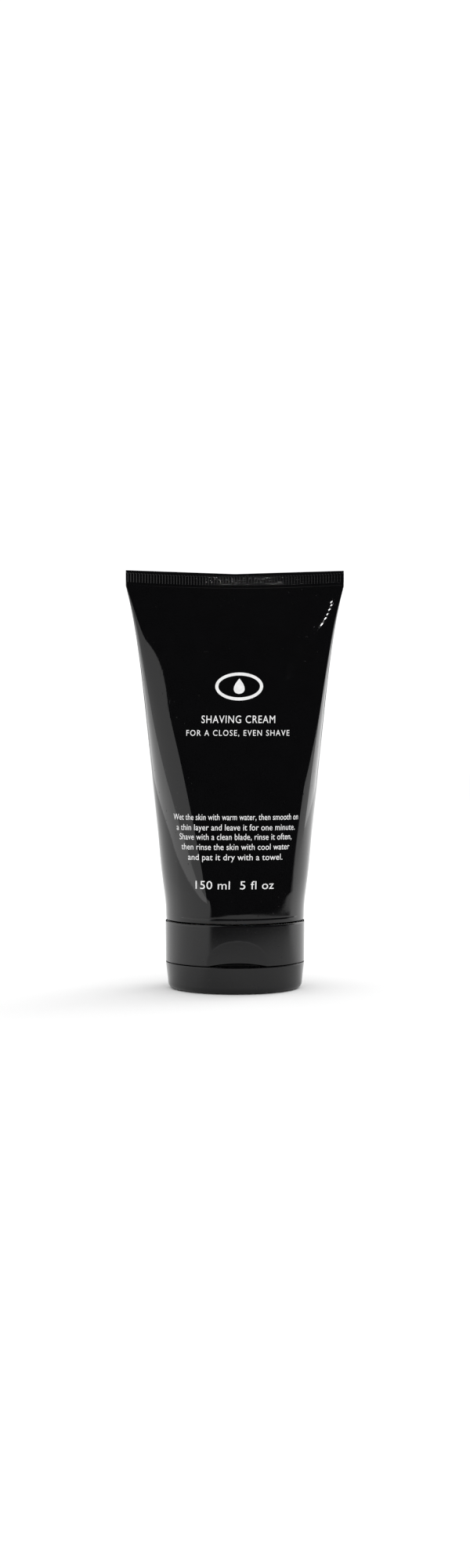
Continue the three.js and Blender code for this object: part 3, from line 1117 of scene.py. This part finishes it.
# Lamps that draw the glint along the fold of the tail's right corner: the spot, turn, lift and power of each
CORNER_LAMPS = (
    ((0.0356, -0.002, 0.1390), 11.6, 22.3, 0.6),
    ((0.0352, -0.002, 0.1378), 14.0, 21.3, 0.9),
    ((0.0340, -0.002, 0.1360), 17.0, 21.3, 0.9),
    ((0.0332, -0.002, 0.1343), 20.2, 21.3, 0.9),
    ((0.0322, -0.003, 0.1332), 22.8, 21.6, 1.2),
    ((0.0314, -0.003, 0.1322), 25.4, 22.3, 1.2),
)


def flat_sheet(name, corner, opposite, finish):
    """A flat sheet of the stage between two corners, upright if they share a Y."""
    bm = bmesh.new()
    bmesh.ops.create_grid(bm, x_segments=1, y_segments=1, size=0.5)
    low, high = Vector(corner), Vector(opposite)
    upright = abs(low.y - high.y) < 1e-6
    for vert in bm.verts:
        x = low.x + (vert.co.x + 0.5) * (high.x - low.x)
        share = vert.co.y + 0.5
        y = low.y if upright else low.y + share * (high.y - low.y)
        z = low.z + share * (high.z - low.z) if upright else low.z
        vert.co = Vector((x, y, z))
    mesh = bpy.data.meshes.new(name)
    bm.to_mesh(mesh)
    bm.free()
    mesh.materials.append(finish)
    made = bpy.data.objects.new(name, mesh)
    bpy.context.scene.collection.objects.link(made)
    return made


class TUBE_OT_stage(bpy.types.Operator):
    """Set up the floor, the lights, the world and the camera"""

    bl_idname = "tube.stage"
    bl_label = "Stage"

    def execute(self, context):
        scene = context.scene
        # The floor carries a painted pool of light and painted shade that only reflections see
        floor = finish_of(pale_floor_painted_pool, scene.tube_colours.floor)
        flat_sheet("floor", (-3, -3, -0.0002), (3, 3, -0.0002), floor)

        left = softbox("softbox_left", (-0.55, 0.085, 0.80), (0, 0.085, 0.80), 1.9, 2.3, 1.02, -33.0)
        left.visible_diffuse = False
        softbox("softbox_right", (0.55, 0.60, 0.50), (0, 0.60, 0.50), 0.76, 1.3, 1.75)
        for k, (place, swing, lift, power) in enumerate(CORNER_LAMPS):
            snooted_lamp(f"lamp_on_corner_{k + 1}", place, swing, lift, 0.30, 0.022, power, 1.2)
        snooted_lamp("lamp_on_seal", (0.003, 0, 0.1470), 24.0, 3.0, 0.60, 0.014, 7.0, 1.6)

        world = bpy.data.worlds.new("white_room")
        world.use_nodes = True
        nodes, links = world.node_tree.nodes, world.node_tree.links
        background = nodes["Background"]
        path = nodes.new("ShaderNodeLightPath")
        shade = nodes.new("ShaderNodeMix")
        shade.data_type = "RGBA"
        colours = [s for s in shade.inputs if s.type == "RGBA"]
        colours[0].default_value = (1.1, 1.1, 1.1, 1.0)
        colours[1].default_value = (0.012, 0.012, 0.013, 1.0)
        links.new(path.outputs["Is Glossy Ray"], shade.inputs[0])
        links.new(next(s for s in shade.outputs if s.type == "RGBA"), background.inputs["Color"])
        background.inputs["Strength"].default_value = 1.0
        scene.world = world
        scene.view_settings.view_transform = "Standard"

        camera = bpy.data.cameras.new("camera")
        camera.lens = 50.98
        camera.sensor_width = 36.0
        camera.dof.use_dof = False
        holder = bpy.data.objects.new("camera", camera)
        swing = math.radians(2.3)
        holder.location = (-0.8 * math.sin(swing), -0.8 * math.cos(swing), 0.0975)
        holder.rotation_euler = (math.radians(90 - 1.74), 0, -swing)
        scene.collection.objects.link(holder)
        scene.camera = holder
        return {"FINISHED"}


OPERATORS = (
    TUBE_OT_stage,
    TUBE_OT_sleeve,
    TUBE_OT_contents,
    TUBE_OT_print,
    TUBE_OT_cap_base,
    TUBE_OT_flip_lid,
    TUBE_OT_hinge,
)


class TUBE_PT_panel(bpy.types.Panel):
    bl_label = "Shaving Cream Tube"
    bl_idname = "TUBE_PT_panel"
    bl_space_type = "VIEW_3D"
    bl_region_type = "UI"
    bl_category = "Cream Tube"

    def draw(self, context):
        for group in (context.scene.tube_sizes, context.scene.tube_colours):
            for name in type(group).__annotations__:
                self.layout.prop(group, name)
        for operator in OPERATORS:
            self.layout.operator(operator.bl_idname)


CLASSES = (TubeSizes, TubeColours, *OPERATORS, TUBE_PT_panel)


def register():
    for cls in CLASSES:
        bpy.utils.register_class(cls)
    bpy.types.Scene.tube_sizes = bpy.props.PointerProperty(type=TubeSizes)
    bpy.types.Scene.tube_colours = bpy.props.PointerProperty(type=TubeColours)


def unregister():
    del bpy.types.Scene.tube_colours
    del bpy.types.Scene.tube_sizes
    for cls in reversed(CLASSES):
        bpy.utils.unregister_class(cls)


def main():
    register()
    for step in (
        bpy.ops.tube.stage,
        bpy.ops.tube.sleeve,
        bpy.ops.tube.contents,
        bpy.ops.tube.print,
        bpy.ops.tube.cap_base,
        bpy.ops.tube.flip_lid,
        bpy.ops.tube.hinge,
    ):
        step()
    bpy.context.view_layer.update()


if __name__ == "__main__":
    main()
